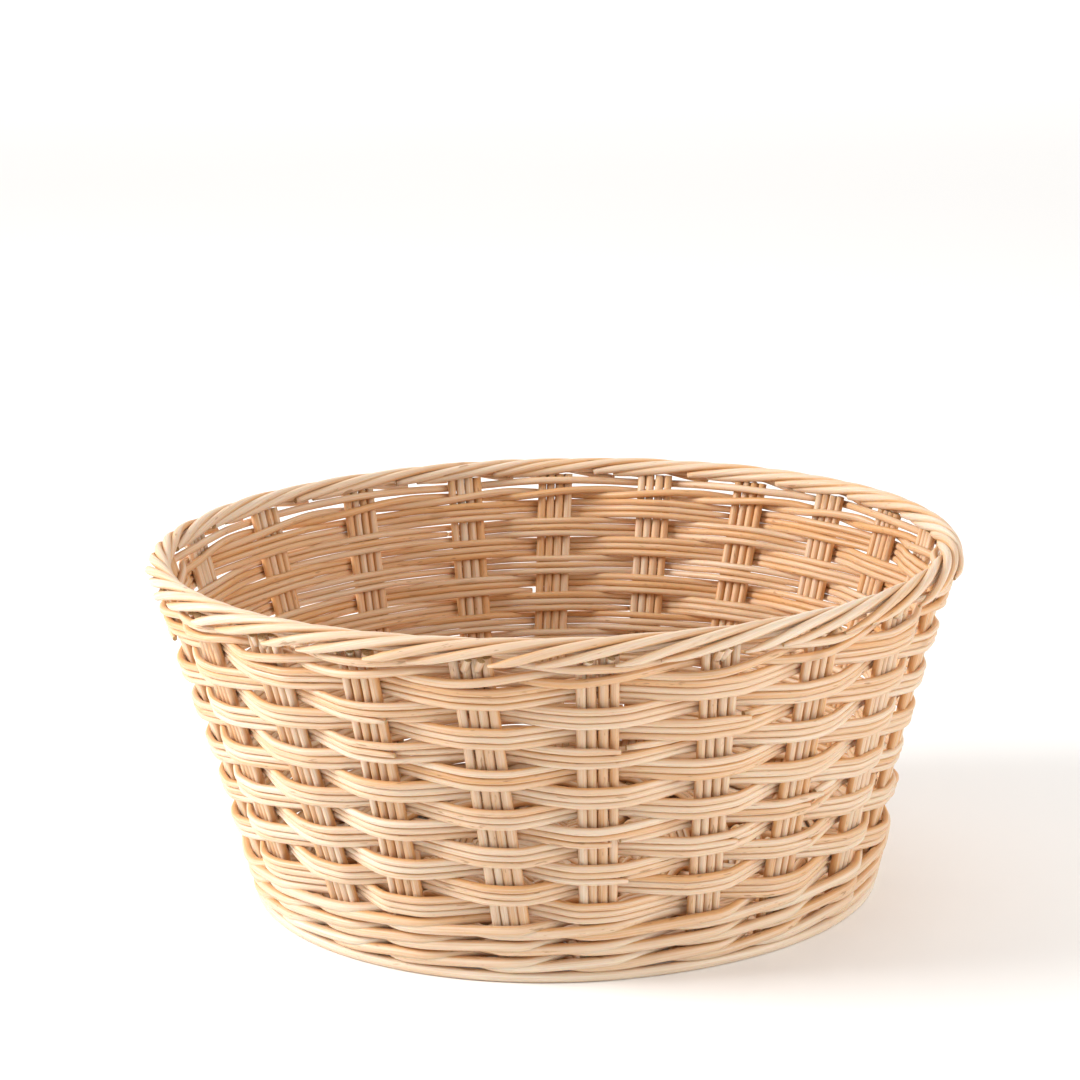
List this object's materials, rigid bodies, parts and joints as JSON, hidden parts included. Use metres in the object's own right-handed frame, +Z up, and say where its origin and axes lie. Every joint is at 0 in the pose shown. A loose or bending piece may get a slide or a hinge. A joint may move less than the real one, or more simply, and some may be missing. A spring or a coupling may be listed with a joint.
{
  "type": "woven wicker basket",
  "caption": "Open round basket of peeled cane: flared wall of flat bands woven over stake groups, twisted rod foot, rolled rope border at the rim and a woven round base.",
  "frame": {"origin": "centre of the resting plane under the foot", "axes": "+Z up through the open top; +X and +Y lie in the resting plane, and the basket is round about Z within a few millimetres, with unevenly spaced stake groups"},
  "size_m": [0.28, 0.2799, 0.1226],
  "materials": {
    "stake_cane": "satin",
    "weave_cane": "satin",
    "foot_cane": "satin",
    "border_cane": "satin",
    "base_cane": "satin"
  },
  "bodies": {
    "root": {"base_sticks_lower": "base_cane", "base_sticks_upper": "base_cane", "base_row_1": "base_cane", "base_row_2": "base_cane", "base_row_3": "base_cane", "base_row_4": "base_cane", "base_row_5": "base_cane", "base_row_6": "base_cane", "base_row_7": "base_cane", "base_row_8": "base_cane", "foot_rod": "foot_cane", "wale_row_1": "foot_cane", "wale_row_2": "foot_cane", "wale_row_3": "foot_cane", "stakes_01": "stake_cane", "stakes_02": "stake_cane", "stakes_03": "stake_cane", "stakes_04": "stake_cane", "stakes_05": "stake_cane", "stakes_06": "stake_cane", "stakes_07": "stake_cane", "stakes_08": "stake_cane", "stakes_09": "stake_cane", "stakes_10": "stake_cane", "stakes_11": "stake_cane", "stakes_12": "stake_cane", "stakes_13": "stake_cane", "stakes_14": "stake_cane", "stakes_15": "stake_cane", "stakes_16": "stake_cane", "stakes_17": "stake_cane", "stakes_18": "stake_cane", "stakes_19": "stake_cane", "stakes_20": "stake_cane", "stakes_21": "stake_cane", "stakes_22": "stake_cane", "side_row_01": "weave_cane", "side_row_02": "weave_cane", "side_row_03": "weave_cane", "side_row_04": "weave_cane", "side_row_05": "weave_cane", "side_row_06": "weave_cane", "side_row_07": "weave_cane", "side_row_08": "weave_cane", "side_row_09": "weave_cane", "side_row_10": "weave_cane", "side_row_11": "weave_cane", "side_row_12": "weave_cane", "pairing_rod_a": "weave_cane", "pairing_rod_b": "weave_cane", "top_rod": "weave_cane", "rim_core": "border_cane", "border_strands": "border_cane"}
  },
  "joints": []
}
